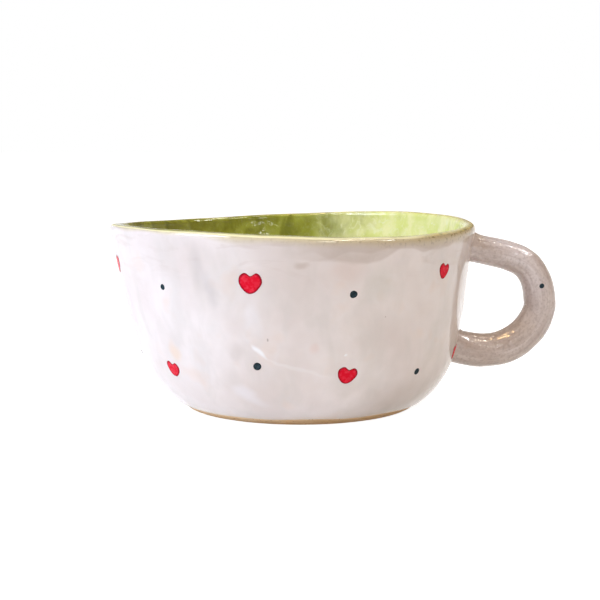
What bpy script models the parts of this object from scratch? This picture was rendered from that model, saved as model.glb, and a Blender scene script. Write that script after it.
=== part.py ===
"""Wide hand-built stoneware mug with a coil handle, a green lining and painted hearts and dots.

Metres, +Z up. The origin is the centre of the flat foot and the handle points along +X.
The pieces follow a potter's order of work: base slab, wall, slip joints, coil handle, glaze coats, painting.
Round pieces are turned from profiles of (radius, height) points, then every point goes through hand_shape.
"""

import math

import bmesh
import bpy
from mathutils import Matrix, Vector

# Finished cup, glaze included
RIM_RADIUS = 0.0598
RIM_HEIGHT = 0.0599
FOOT_RADIUS = 0.0385
HEEL_ANGLE = math.radians(32.5)
HEEL_PULL = 0.0200
WALL_LEAN = math.radians(11.1)
WALL_PULL = 0.0288
WALL_THICKNESS = 0.0042
LIP_FULLNESS = 2.7

# Layers, from the outside in: a glaze coat, a fired seam, clay, a seam, a glaze coat
GLAZE_THICKNESS = 0.0004
SEAM = 0.0003
SLIP_THICKNESS = 0.0006
BASE_THICKNESS = 0.0050
FOOT_EDGE_BREAK = 0.0004
GLAZE_LINE = 0.0022
LINING_LIP_ANGLE = math.radians(62)
LINING_POOL_LEG = 0.0070

# Hand shaping: how far the fired cup strays from a turned one
RIM_SHIFT = -0.0025
RIM_SADDLE = 0.0012
SADDLE_TURN = math.radians(20)
RIM_TILT = 0.0003
RIM_BACK_DROP = 0.0005
OUT_OF_ROUND = 0.0003

# Coil handle, glaze included: it slopes down from the wall at both joints and is thicker at the lower one
COIL_TOP_RADIUS = 0.0048
COIL_FOOT_RADIUS = 0.0057
HANDLE_REACH = 0.0822
HANDLE_BELOW_RIM = 0.0081
HANDLE_APEX = 0.0314
HANDLE_BOTTOM = 0.0183
JOINT_SLOPE = math.radians(20)
UPPER_PULL = 0.0117
APEX_RISE_PULL = 0.0193
APEX_FALL_PULL = 0.0050
LOWER_PULL = 0.0235
JOINT_FLARE = 0.06
FLARE_LENGTH = 0.0060

# Painted motifs: hearts and dots take turns round the cup, from beside the handle and back to it
UPPER_HEART_WIDTH = 0.0065
UPPER_HEART_HEIGHT = 0.0058
LOWER_HEART_WIDTH = 0.0058
LOWER_HEART_HEIGHT = 0.0051
HEART_NOTCH = 0.42
NOTCH_SHARPNESS = 24
HEART_TAPER = 0.25
DOT_RADIUS = 0.00115
HANDLE_DOT_RADIUS = 0.00085
PAINT_THICKNESS = 0.0003
MOTIF_STEP = math.radians(-31.6)
UPPER_ROW_START = math.radians(-45)
UPPER_HEARTS_BELOW_RIM = 0.0131
UPPER_DOTS_BELOW_RIM = 0.0170
LOWER_ROW_START = math.radians(-18.6)
LOWER_HEARTS_LEVEL = 0.0175
LOWER_DOTS_LEVEL = 0.0182
HANDLE_DOT_SHARE = 0.855

# How far each painted motif strays from its even place: (degrees round the cup, metres up it)
UPPER_STRAY = [(2, 0.001), (-1.5, 0), (-0.5, -0.001), (0, 0), (1, 0.0006)]
UPPER_STRAY += [(2, 0), (-1, -0.0004), (1, 0.0003), (0, 0.0005), (-2, 0)]
LOWER_STRAY = [(-3, 0.0012), (-1, -0.0018), (2, 0), (4, 0.0025), (0, -0.0011)]
LOWER_STRAY += [(1, 0), (0, 0.0006), (-2, 0), (1, -0.0006), (2, 0.0007), (0, 0)]
HEART_TILTS = [math.radians(degrees) for degrees in (8, -6, 4)]

# Fineness of the solids
TURN_STEPS = 56
OUTSIDE_STEPS = 10
LIP_STEPS = 6
POOL_STEPS = 3
COIL_STEPS = 11
COIL_SIDE_RESOLUTION = 6
HEART_POINTS = 20
DOT_POINTS = 12

# Worked out from the sizes above
CLAY_DEPTH = GLAZE_THICKNESS + SEAM
HANDLE_TOP = RIM_HEIGHT - HANDLE_BELOW_RIM
LIP_RADIUS = WALL_THICKNESS / 2
LIP_CENTRE = Vector((RIM_RADIUS - LIP_RADIUS, RIM_HEIGHT - LIP_RADIUS))
WALL_SEAT = BASE_THICKNESS + 2 * SEAM + SLIP_THICKNESS
LINING_UNDERSIDE = BASE_THICKNESS + SEAM
FLOOR_HEIGHT = LINING_UNDERSIDE + GLAZE_THICKNESS


def clear_scene():
    for old in list(bpy.data.objects):
        bpy.data.objects.remove(old)


def finish(name, colour, roughness):
    """A fired surface: colour is linear RGB."""
    material = bpy.data.materials.new(name)
    material.use_nodes = True
    shader = material.node_tree.nodes["Principled BSDF"]
    shader.inputs["Base Color"].default_value = (*colour, 1)
    shader.inputs["Roughness"].default_value = roughness
    shader.inputs["Metallic"].default_value = 0
    return material


def add_object(name, mesh, material):
    mesh.materials.clear()
    mesh.materials.append(material)
    mesh.shade_smooth()
    mesh.set_sharp_from_angle(angle=math.radians(35))
    made = bpy.data.objects.new(name, mesh)
    bpy.context.scene.collection.objects.link(made)
    return made


def as_cutter(made):
    """Keeps an object for Booleans only."""
    made.hide_render = True
    made.display_type = "WIRE"
    return made


def combine(target, operation, other):
    """Adds a Boolean with another object to the target's stack."""
    boolean = target.modifiers.new(f"{operation.lower()} {other.name}", "BOOLEAN")
    boolean.operation = operation
    boolean.object = other
    return target


# The skin: the finished outside of the wall, from the foot's edge to the start of the lip


def cubic(corners, share):
    """The point at a share of the way along a cubic curve, from its four control points."""
    start, leave, reach, end = corners
    rest = 1 - share
    ends = rest**3 * start + share**3 * end
    return ends + 3 * rest * share * (rest * leave + share * reach)


def cubic_travel(corners, share):
    """The direction of travel there."""
    start, leave, reach, end = corners
    rest = 1 - share
    ends = rest**2 * (leave - start) + share**2 * (end - reach)
    return (ends + 2 * rest * share * (reach - leave)).normalized()


def outside_line():
    """(point, outward normal) pairs up the finished outside: a cubic curve of (radius, height) points."""
    along_wall = Vector((math.sin(WALL_LEAN), math.cos(WALL_LEAN)))
    start = Vector((FOOT_RADIUS, 0))
    end = LIP_CENTRE + LIP_RADIUS * Vector((along_wall.y, -along_wall.x))
    leave_foot = start + HEEL_PULL * Vector((math.cos(HEEL_ANGLE), math.sin(HEEL_ANGLE)))
    reach_lip = end - WALL_PULL * along_wall
    corners = (start, leave_foot, reach_lip, end)
    line = []
    for step in range(OUTSIDE_STEPS + 1):
        share = step / OUTSIDE_STEPS
        travel = cubic_travel(corners, share)
        line.append((cubic(corners, share), Vector((travel.y, -travel.x))))
    return line


def inset(line, depth):
    """The line moved into the wall by depth, and run on straight at its lower end past the table."""
    points = [point - depth * normal for point, normal in line]
    first_normal = line[0][1]
    downward = Vector((first_normal.y, -first_normal.x))
    run_on = 2 * WALL_THICKNESS + depth
    return [points[0] + run_on * downward] + points


def clipped(points, low, high=math.inf):
    """The part of a rising line between two heights, with new ends exactly at them."""
    kept = []
    for here, after in zip(points, points[1:]):
        for height in (low, high):
            if here.y < height <= after.y:
                share = (height - here.y) / (after.y - here.y)
                kept.append(here.lerp(after, share))
        if low < after.y < high:
            kept.append(after)
    return kept


def lip_arc(radius, start, end):
    """Points over the lip, a little fuller than round, from the outside in: LIP_STEPS to a half turn."""
    outward = Vector((math.cos(WALL_LEAN), -math.sin(WALL_LEAN)))
    upward = Vector((math.sin(WALL_LEAN), math.cos(WALL_LEAN)))
    power = 2 / LIP_FULLNESS
    steps = math.ceil(LIP_STEPS * (end - start) / math.pi)
    arc = []
    for step in range(steps + 1):
        turn = start + (end - start) * step / steps + WALL_LEAN
        across = math.copysign(abs(math.cos(turn)) ** power, math.cos(turn))
        rise = abs(math.sin(turn)) ** power
        arc.append(LIP_CENTRE + radius * (across * outward + rise * upward))
    return arc


def cut_back(points, length):
    """A line without its last stretch of the given length."""
    points = list(points)
    while (points[-1] - points[-2]).length < length:
        length -= (points[-1] - points[-2]).length
        points.pop()
    points[-1] = points[-1] + (points[-2] - points[-1]).normalized() * length
    return points


# Turning and hand shaping


def hand_shape(radius, height, angle):
    """Where a turned point ends up on the leaning, slightly oval cup with its saddle-shaped rim."""
    share = max(0.0, height / RIM_HEIGHT)
    shift = RIM_SHIFT * share * share * (3 - 2 * share) if share < 1 else RIM_SHIFT
    oval = radius * (1 + OUT_OF_ROUND / RIM_RADIUS * share * math.cos(2 * angle))
    tilt = RIM_TILT * math.cos(angle) - RIM_BACK_DROP * math.sin(angle)
    wave = RIM_SADDLE * math.sin(2 * angle + SADDLE_TURN) + tilt
    lift = wave * share**3 * radius / RIM_RADIUS
    return Vector((oval * math.cos(angle) + shift, oval * math.sin(angle), height + lift))


def turned(name, profile, material):
    """A solid turned from a profile that is closed, or that starts and ends on the axis."""
    on_axis = profile[0].x < SEAM / 2
    shell = bmesh.new()
    points = [shell.verts.new((point.x, 0, point.y)) for point in profile]
    pairs = list(zip(points, points[1:])) if on_axis else list(zip(points, points[1:] + points[:1]))
    edges = [shell.edges.new(pair) for pair in pairs]
    turn = {"cent": (0, 0, 0), "axis": (0, 0, 1), "angle": 2 * math.pi, "steps": TURN_STEPS}
    bmesh.ops.spin(shell, geom=points + edges, use_merge=True, **turn)
    bmesh.ops.remove_doubles(shell, verts=shell.verts, dist=SEAM / 100)
    for vertex in shell.verts:
        radius = math.hypot(vertex.co.x, vertex.co.y)
        angle = math.atan2(vertex.co.y, vertex.co.x)
        vertex.co = hand_shape(radius, vertex.co.z, angle)
    bmesh.ops.recalc_face_normals(shell, faces=shell.faces)
    mesh = bpy.data.meshes.new(name)
    shell.to_mesh(mesh)
    shell.free()
    return add_object(name, mesh, material)


def envelope(name, depth):
    """The cup as one plain block whose side lies at this depth in the wall: negative is outside it."""
    side = inset(outside_line(), depth)
    upward = (side[-1] - side[-2]).normalized()
    side.append(side[-1] + upward * 4 * COIL_FOOT_RADIUS)
    side = clipped(side, FOOT_EDGE_BREAK)
    profile = [Vector((0, side[0].y))] + side + [Vector((0, side[-1].y))]
    return as_cutter(turned(name, profile, None))


# Clay


def base_slab(clay):
    clay_side = inset(outside_line(), CLAY_DEPTH)
    flat_radius = clipped(clay_side, 0)[0].x - FOOT_EDGE_BREAK
    side = clipped(clay_side, FOOT_EDGE_BREAK, BASE_THICKNESS)
    profile = [Vector((0, 0)), Vector((flat_radius, 0))] + side + [Vector((0, BASE_THICKNESS))]
    return turned("base_slab", profile, clay)


def wall_ring(name, low, high, material):
    """The band of the wall's clay between two heights."""
    outer = clipped(inset(outside_line(), CLAY_DEPTH), low, high)
    inner = clipped(inset(outside_line(), WALL_THICKNESS - CLAY_DEPTH), low, high)
    return turned(name, outer + inner[::-1], material)


def wall(clay):
    outer = clipped(inset(outside_line(), CLAY_DEPTH), WALL_SEAT)
    inner = clipped(inset(outside_line(), WALL_THICKNESS - CLAY_DEPTH), WALL_SEAT)
    lip = lip_arc(LIP_RADIUS - CLAY_DEPTH, -WALL_LEAN, math.pi - WALL_LEAN)
    return turned("wall", outer + lip[1:-1] + inner[::-1], clay)


def base_slip_ring(slip):
    low = BASE_THICKNESS + SEAM
    return wall_ring("base_slip_ring", low, low + SLIP_THICKNESS, slip)


# Handle


def outside_at(height):
    """The finished outside's x on the handle's side of the cup at a height."""
    side = inset(outside_line(), 0)
    radius = clipped(side, height)[0].x
    return hand_shape(radius, height, 0).x


def handle_bends():
    """The control points of the coil's two curves: upper joint to apex, and apex to lower joint."""
    away = Vector((math.cos(JOINT_SLOPE), 0, -math.sin(JOINT_SLOPE)))
    rise = Vector((0, 0, APEX_RISE_PULL))
    fall = Vector((0, 0, -APEX_FALL_PULL))
    top = Vector((outside_at(HANDLE_TOP), 0, HANDLE_TOP))
    apex = Vector((HANDLE_REACH, 0, HANDLE_APEX))
    bottom = Vector((outside_at(HANDLE_BOTTOM), 0, HANDLE_BOTTOM))
    upper = (top, top + UPPER_PULL * away, apex + rise, apex)
    lower = (apex, apex + fall, bottom + LOWER_PULL * away, bottom)
    return upper, lower


def handle_path():
    """The coil's centre line, from inside the wall at the top to inside the wall at the bottom."""
    upper, lower = handle_bends()
    shares = [step / COIL_STEPS for step in range(COIL_STEPS + 1)]
    bends = [cubic(upper, share) for share in shares] + [cubic(lower, share) for share in shares[1:]]
    top_end = upper[0] - WALL_THICKNESS * cubic_travel(upper, 0)
    bottom_end = lower[-1] + (WALL_THICKNESS + COIL_FOOT_RADIUS) * cubic_travel(lower, 1)
    return [top_end] + bends + [bottom_end]


def coil_radius(height):
    """The finished coil's radius where its centre line is at a height."""
    share = (HANDLE_TOP - height) / (HANDLE_TOP - HANDLE_BOTTOM)
    return COIL_TOP_RADIUS + (COIL_FOOT_RADIUS - COIL_TOP_RADIUS) * min(1.0, max(0.0, share))


def coil(name, depth, material):
    """A tube along the handle at this depth under its finished skin, flared where it meets the wall."""
    path = handle_path()
    curve = bpy.data.curves.new(name, "CURVE")
    curve.dimensions = "3D"
    curve.bevel_depth = 1
    curve.bevel_resolution = COIL_SIDE_RESOLUTION
    curve.use_fill_caps = True
    spline = curve.splines.new("POLY")
    spline.points.add(len(path) - 1)
    for spot, place in zip(spline.points, path):
        spot.co = (*place, 1)
        from_wall = max(0.0, place.x - outside_at(place.z))
        flare = JOINT_FLARE * max(0.0, 1 - from_wall / FLARE_LENGTH)
        spot.radius = (coil_radius(place.z) - depth) * (1 + flare)
    guide = bpy.data.objects.new(name, curve)
    bpy.context.scene.collection.objects.link(guide)
    mesh = bpy.data.meshes.new_from_object(guide.evaluated_get(bpy.context.evaluated_depsgraph_get()))
    bpy.data.objects.remove(guide)
    tidy = bmesh.new()
    tidy.from_mesh(mesh)
    bmesh.ops.remove_doubles(tidy, verts=tidy.verts, dist=SEAM / 100)
    bmesh.ops.recalc_face_normals(tidy, faces=tidy.faces)
    tidy.to_mesh(mesh)
    tidy.free()
    return add_object(name, mesh, material)


def handle(clay, pad_face):
    made = coil("handle", CLAY_DEPTH, clay)
    return combine(made, "DIFFERENCE", pad_face)


def slip_pad(name, joint, slip, pad_face, wall_face):
    """The layer of slip between the coil and the wall at one joint."""
    radius = (coil_radius(joint.z) - CLAY_DEPTH) * (1 + JOINT_FLARE)
    length = 2 * (WALL_THICKNESS + 2 * radius)
    slope = Matrix.Rotation(math.pi / 2 + JOINT_SLOPE, 4, "Y")
    stub = bmesh.new()
    bmesh.ops.create_cone(stub, cap_ends=True, segments=16, radius1=radius, radius2=radius, depth=length)
    bmesh.ops.transform(stub, matrix=Matrix.Translation(joint) @ slope, verts=stub.verts)
    bmesh.ops.recalc_face_normals(stub, faces=stub.faces)
    mesh = bpy.data.meshes.new(name)
    stub.to_mesh(mesh)
    stub.free()
    made = add_object(name, mesh, slip)
    combine(made, "INTERSECT", pad_face)
    return combine(made, "DIFFERENCE", wall_face)


# Glaze coats


def outer_glaze(glaze, joint_hole):
    gap_angle = SEAM / LIP_RADIUS
    lip_end = LINING_LIP_ANGLE - gap_angle
    skin = clipped(inset(outside_line(), 0), GLAZE_LINE)
    back = clipped(inset(outside_line(), GLAZE_THICKNESS), GLAZE_LINE)
    skin_lip = lip_arc(LIP_RADIUS, -WALL_LEAN, lip_end)[1:]
    back_lip = lip_arc(LIP_RADIUS - GLAZE_THICKNESS, -WALL_LEAN, lip_end)[1:]
    made = turned("outer_glaze", skin + skin_lip + back_lip[::-1] + back[::-1], glaze)
    return combine(made, "DIFFERENCE", joint_hole)


def lining_glaze(glaze):
    """The green coat: over the lip, down the inside, pooled in the corner and across the floor."""
    inside_end = math.pi - WALL_LEAN
    skin_side = clipped(inset(outside_line(), WALL_THICKNESS), FLOOR_HEIGHT)[::-1]
    back_side = clipped(inset(outside_line(), WALL_THICKNESS - GLAZE_THICKNESS), LINING_UNDERSIDE)[::-1]
    corner = skin_side[-1]
    skin_side = cut_back(skin_side, LINING_POOL_LEG)
    pool_start = skin_side[-1]
    pool_end = corner - Vector((LINING_POOL_LEG, 0))
    pool = []
    for step in range(1, POOL_STEPS + 1):
        share = step / POOL_STEPS
        pool.append(pool_start.lerp(corner, share).lerp(corner.lerp(pool_end, share), share))
    skin_lip = lip_arc(LIP_RADIUS, LINING_LIP_ANGLE, inside_end)[:-1]
    back_lip = lip_arc(LIP_RADIUS - GLAZE_THICKNESS, LINING_LIP_ANGLE, inside_end)[:-1]
    skin = [Vector((0, FLOOR_HEIGHT))] + pool[::-1] + skin_side[::-1] + skin_lip[::-1]
    back = back_lip + back_side + [Vector((0, LINING_UNDERSIDE))]
    return turned("lining_glaze", skin + back, glaze)


def handle_glaze(glaze, joint_hole, glaze_face):
    made = coil("handle_glaze", 0, glaze)
    combine(made, "DIFFERENCE", joint_hole)
    return combine(made, "DIFFERENCE", glaze_face)


# Painting


def heart_outline(width, height):
    """(across, up) points round a plump heart with a shallow notch and a blunt tip, from the notch."""
    turns = [2 * math.pi * step / HEART_POINTS for step in range(HEART_POINTS)]
    ups = [math.cos(turn) - HEART_NOTCH * max(0.0, math.cos(turn)) ** NOTCH_SHARPNESS for turn in turns]
    overs = [math.sin(turn) * (1 + HEART_TAPER * math.cos(turn)) for turn in turns]
    middle = (max(ups) + min(ups)) / 2
    wide = width / (max(overs) - min(overs))
    tall = height / (max(ups) - min(ups))
    return [Vector((wide * over, tall * (up - middle))) for over, up in zip(overs, ups)]


def dot_outline(radius):
    turns = [2 * math.pi * step / DOT_POINTS for step in range(DOT_POINTS)]
    return [radius * Vector((math.cos(turn), math.sin(turn))) for turn in turns]


def painted(name, outline, place, material):
    """A thin raised patch: place gives the point for (across, up) and a height over the glaze."""
    patch = bmesh.new()
    layers = []
    for height in (SEAM, SEAM + PAINT_THICKNESS):
        middle = patch.verts.new(place(Vector((0, 0)), height))
        ring = [patch.verts.new(place(spot, height)) for spot in outline]
        layers.append((middle, ring))
    (under_middle, under), (over_middle, over) = layers
    for i in range(len(outline)):
        j = (i + 1) % len(outline)
        patch.faces.new((under_middle, under[j], under[i]))
        patch.faces.new((over_middle, over[i], over[j]))
        patch.faces.new((under[i], under[j], over[j], over[i]))
    bmesh.ops.recalc_face_normals(patch, faces=patch.faces)
    mesh = bpy.data.meshes.new(name)
    patch.to_mesh(mesh)
    patch.free()
    return add_object(name, mesh, material)


def on_wall(angle, row_height, tilt):
    """Places a motif's points on the cup's outside, turned by tilt."""
    line = outside_line()

    def place(spot, height):
        across = spot.x * math.cos(tilt) - spot.y * math.sin(tilt)
        up = spot.x * math.sin(tilt) + spot.y * math.cos(tilt)
        side = clipped(inset(line, -height), row_height)
        while len(side) > 2 and (side[1] - side[0]).length < up:
            up -= (side[1] - side[0]).length
            side = side[1:]
        if up < 0:
            below = clipped(inset(line, -height), 0, row_height)
            side = [below[-1], below[-2]]
            up = -up
            while len(below) > 2 and (below[-1] - below[-2]).length < up:
                up -= (below[-1] - below[-2]).length
                below = below[:-1]
                side = [below[-1], below[-2]]
        point = side[0] + (side[1] - side[0]).normalized() * up
        return hand_shape(point.x, point.y, angle + across / point.x)

    return place


def on_handle(share, side):
    """Places a motif's points on the side of the upper bend that faces -Y (side -1) or +Y (side 1)."""
    upper, _ = handle_bends()
    middle = cubic(upper, share)
    along = cubic_travel(upper, share)
    radius = coil_radius(middle.z)
    outward = Vector((0, side, 0))
    inward = along.cross(outward)

    def place(spot, height):
        wrap = spot.x / radius
        reach = radius + height
        return middle + along * spot.y + reach * (outward * math.cos(wrap) + inward * math.sin(wrap))

    return place


def painted_row(row, start, heart, levels, stray, red, blue):
    """Hearts and dots in turn round the cup: levels are the hearts' and the dots' heights."""
    for number, (degrees, rise) in enumerate(stray):
        angle = start + MOTIF_STEP * number + math.radians(degrees)
        level = levels[number % 2] + rise
        count = number // 2 + 1
        if number % 2:
            painted(f"dot_{row}_{count}", dot_outline(DOT_RADIUS), on_wall(angle, level, 0), blue)
        else:
            tilt = HEART_TILTS[count % len(HEART_TILTS)]
            painted(f"heart_{row}_{count}", heart, on_wall(angle, level, tilt), red)


def handle_dots(blue):
    for name, side in (("handle_dot_front", -1), ("handle_dot_back", 1)):
        painted(name, dot_outline(HANDLE_DOT_RADIUS), on_handle(HANDLE_DOT_SHARE, side), blue)


def main():
    clear_scene()
    clay = finish("bare stoneware", (0.52, 0.37, 0.23), 0.85)
    slip = finish("stoneware slip", (0.60, 0.47, 0.34), 0.9)
    white = finish("white gloss glaze", (0.78, 0.72, 0.69), 0.12)
    green = finish("lime gloss glaze", (0.50, 0.56, 0.14), 0.12)
    red = finish("red underglaze", (0.66, 0.02, 0.05), 0.2)
    blue = finish("ink blue underglaze", (0.03, 0.05, 0.07), 0.2)

    wall_face = envelope("wall_face", CLAY_DEPTH - SEAM)
    pad_face = envelope("pad_face", CLAY_DEPTH - SEAM - SLIP_THICKNESS)
    handle_seat = envelope("handle_seat", CLAY_DEPTH - 2 * SEAM - SLIP_THICKNESS)
    glaze_face = envelope("glaze_face", -SEAM)
    joint_hole = as_cutter(coil("joint_hole", CLAY_DEPTH - SEAM, None))
    upper_bend, lower_bend = handle_bends()

    base_slab(clay)
    base_slip_ring(slip)
    wall(clay)
    handle(clay, handle_seat)
    slip_pad("upper_slip_pad", upper_bend[0], slip, pad_face, wall_face)
    slip_pad("lower_slip_pad", lower_bend[-1], slip, pad_face, wall_face)
    outer_glaze(white, joint_hole)
    lining_glaze(green)
    handle_glaze(white, joint_hole, glaze_face)
    upper_heart = heart_outline(UPPER_HEART_WIDTH, UPPER_HEART_HEIGHT)
    lower_heart = heart_outline(LOWER_HEART_WIDTH, LOWER_HEART_HEIGHT)
    upper_levels = (RIM_HEIGHT - UPPER_HEARTS_BELOW_RIM, RIM_HEIGHT - UPPER_DOTS_BELOW_RIM)
    lower_levels = (LOWER_HEARTS_LEVEL, LOWER_DOTS_LEVEL)
    painted_row("upper", UPPER_ROW_START, upper_heart, upper_levels, UPPER_STRAY, red, blue)
    painted_row("lower", LOWER_ROW_START, lower_heart, lower_levels, LOWER_STRAY, red, blue)
    handle_dots(blue)


main()
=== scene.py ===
"""Looks of a wide hand-built stoneware mug: glaze coats, bare foot, coil handle and painted motifs.

Metres, +Z up, in the frame of the solids: the origin is the middle of the foot, the handle points to +X.
The pieces share their driving curves with the solids, and every turned point goes through the same shaping.
"""

import functools
import math

import bmesh
import bpy
from mathutils import Matrix, Vector


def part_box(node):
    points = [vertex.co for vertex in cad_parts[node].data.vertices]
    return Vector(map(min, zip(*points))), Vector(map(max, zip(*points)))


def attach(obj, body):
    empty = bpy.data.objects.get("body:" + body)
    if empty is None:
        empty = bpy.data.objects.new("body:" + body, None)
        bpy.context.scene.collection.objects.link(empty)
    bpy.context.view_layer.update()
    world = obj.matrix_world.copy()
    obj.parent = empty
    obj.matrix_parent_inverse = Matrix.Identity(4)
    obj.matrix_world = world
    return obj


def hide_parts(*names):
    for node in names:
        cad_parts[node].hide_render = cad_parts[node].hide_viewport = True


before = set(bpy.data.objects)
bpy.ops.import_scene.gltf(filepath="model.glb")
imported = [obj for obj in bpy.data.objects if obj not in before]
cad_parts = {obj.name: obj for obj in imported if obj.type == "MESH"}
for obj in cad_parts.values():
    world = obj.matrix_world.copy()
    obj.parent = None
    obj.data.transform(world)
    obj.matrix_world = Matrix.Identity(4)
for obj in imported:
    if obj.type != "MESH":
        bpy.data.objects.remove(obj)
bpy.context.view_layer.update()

# Finished cup, glaze included, as in the solids
RIM_RADIUS = 0.0598
RIM_HEIGHT = 0.0599
FOOT_RADIUS = 0.0385
HEEL_ANGLE = math.radians(32.5)
HEEL_PULL = 0.0200
WALL_LEAN = math.radians(11.1)
WALL_PULL = 0.0288
WALL_THICKNESS = 0.0042
LIP_FULLNESS = 2.7
BASE_THICKNESS = 0.0050
FLOOR_HEIGHT = 0.0057
FLOOR_CORNER_LEG = 0.0090
LIP_RADIUS = WALL_THICKNESS / 2
LIP_CENTRE = Vector((RIM_RADIUS - LIP_RADIUS, RIM_HEIGHT - LIP_RADIUS))

# Hand shaping, as in the solids, and the finer waviness that only shows close up
RIM_SHIFT = -0.0025
RIM_SADDLE = 0.0012
SADDLE_TURN = math.radians(20)
RIM_TILT = 0.0003
RIM_BACK_DROP = 0.0005
OUT_OF_ROUND = 0.0003
LIP_WAVE = 0.00014

# Finger marks left in the outside: (degrees round the cup, height) of both ends, width, and how far out
FINGER_MARKS = [
    ((-110.5, 0.0278), (-103, 0.0232), 0.0013, 0.00042),
    ((-103, 0.0232), (-84, 0.0176), 0.0012, 0.00018),
    ((-127, 0.052), (-122, 0.039), 0.0026, -0.00038),
    ((-75, 0.036), (-68, 0.026), 0.0050, -0.00020),
    ((-58, 0.050), (-50, 0.043), 0.0045, -0.00018),
    ((-140, 0.030), (-132, 0.024), 0.0045, -0.00022),
    ((-95, 0.046), (-88, 0.039), 0.0050, -0.00015),
    ((165, 0.048), (158, 0.036), 0.0045, -0.00025),
    ((120, 0.034), (135, 0.024), 0.0020, 0.00018),
    ((95, 0.050), (88, 0.040), 0.0050, -0.00025),
    ((55, 0.032), (62, 0.022), 0.0050, -0.00022),
    ((38, 0.047), (30, 0.039), 0.0040, -0.00020),
    ((-22, 0.034), (-16, 0.028), 0.0040, -0.00015),
]

# Coil handle, as in the solids, and the small skirt of glaze where it meets the wall
COIL_TOP_RADIUS = 0.0048
COIL_FOOT_RADIUS = 0.0057
HANDLE_REACH = 0.0822
HANDLE_TOP = RIM_HEIGHT - 0.0081
HANDLE_APEX = 0.0314
HANDLE_BOTTOM = 0.0183
JOINT_SLOPE = math.radians(20)
UPPER_PULL = 0.0117
APEX_RISE_PULL = 0.0193
APEX_FALL_PULL = 0.0050
LOWER_PULL = 0.0235
JOINT_SKIRT = 0.0005
SKIRT_LENGTH = 0.0036
JOINT_LENGTH = 0.0060
COIL_ROOT = 0.0020

# Stains in the white glaze, and painted shade and highlights on it: (degrees round the cup, height) of the
# middle, degrees that it leans, half its width and height, how strongly it shows, and its colour
GLAZE_STAINS_AND_PAINTED_LIGHT = [
    ((-141, 0.0230), 0, 0.0030, 0.0042, 0.5, "#F0D5B8"),
    # Painted shade: the grey in two finger dents
    ((-125.2, 0.0495), 4, 0.0036, 0.0100, 0.27, "#BDB6B2"),
    ((-121.8, 0.0432), 8, 0.0030, 0.0080, 0.32, "#B4ADA9"),
    # Painted light: a pale patch, shade by the ridge, a white glint, its pale tail, a pale patch low down
    ((-109.0, 0.0350), 4, 0.0036, 0.0090, 0.24, "#F8F8FC"),
    ((-115.9, 0.0248), 10, 0.0040, 0.0042, 0.35, "#CCC2BA"),
    ((-108.0, 0.0250), 45, 0.0011, 0.0040, 1.0, "#FFFFFF"),
    ((-97.5, 0.0206), 73, 0.0009, 0.0140, 0.30, "#FAF8F6"),
    ((-114.7, 0.0111), 60, 0.0030, 0.0080, 0.40, "#F8F8FC"),
    # Pink, greenish grey and brown marks that the glaze itself has
    ((-80.3, 0.0497), 0, 0.0075, 0.0060, 0.35, "#E8D2C8"),
    ((-69.7, 0.0457), 0, 0.0065, 0.0080, 0.45, "#D6D3C8"),
    ((-93.4, 0.0517), 80, 0.0014, 0.0036, 0.35, "#B5A08E"),
    ((-90.8, 0.0260), 0, 0.0020, 0.0026, 0.25, "#E9C6BC"),
    # A painted highlight: a small white spark; then an iron fleck
    ((-81.0, 0.0242), 0, 0.0006, 0.0006, 1.0, "#FFFFFF"),
    ((-104.9, 0.0291), 10, 0.0004, 0.0008, 0.5, "#7E6C5A"),
    # Painted shade: low on the handle's side, and along the far left
    ((-50.0, 0.0080), 0, 0.0280, 0.0150, 0.38, "#B4A69B"),
    ((-172.0, 0.0330), 0, 0.0150, 0.0420, 0.55, "#D2C4CC"),
]
STAIN_AND_LIGHT_DEPTH = 0.010
STAIN_AND_LIGHT_WANDER = 0.003

# Glaze coats: lip angles are 0 where the lip starts on the outside, and half a turn where it ends inside
COAT = 0.00035
GLAZE_LINE = 0.0022
GLAZE_LINE_WAVE = 0.00035
LINING_EDGE_ANGLE = math.radians(72)
LINING_EDGE_TURN = math.radians(17)
LINING_EDGE_WAVE = math.radians(8)
LINING_OVERLAP = math.radians(16)
LINING_EDGE_LIFT = 0.00005
WHITE_THINS_OVER = 0.0036
LIME_THINS_OVER = 0.0024
THIN_LENGTH_WAVE = 0.25
WHITE_THIN_TURN = 0.55
LIME_THIN_TURN = 0.5
FOOT_EDGE_THINNESS = 0.2
THIN_EDGE_HEIGHT = 0.0016
BASE_SIDE_DEPTH = 0.0004
BASE_EDGE_ROUND = 0.0009
GLAZE_EDGE_SHARES = (0.35, 0.75)
# Dents that fingers left in the two coats
WHITE_DENTS = {
    "Depth": 0.0011,
    "Spacing": 0.020,
    "Seed": 3.0,
    "Foot Level": 0.004,
    "Rim Level": 0.056,
    "Fade": 0.012,
}
LIME_DENTS = {
    "Depth": 0.0009,
    "Spacing": 0.016,
    "Seed": 8.0,
    "Foot Level": 0.008,
    "Rim Level": 0.054,
    "Fade": 0.010,
}

# Finishes: sizes of the patterns in them, how far their edges stray, and the places, along X or up, where
# they come in or end
CLAY_CLOUD = 0.006
CLAY_GRIT = 0.0007
WHITE_CLOUD = 0.022
WHITE_MOTTLE = 0.009
WHITE_WISP = 0.014
WHITE_RIPPLE = 0.004
PEACH_CLOUD = 0.011
STAIN_AND_LIGHT_EDGE = 0.006
WISPS_START = 0.044
WISPS_FULL = 0.056
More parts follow.
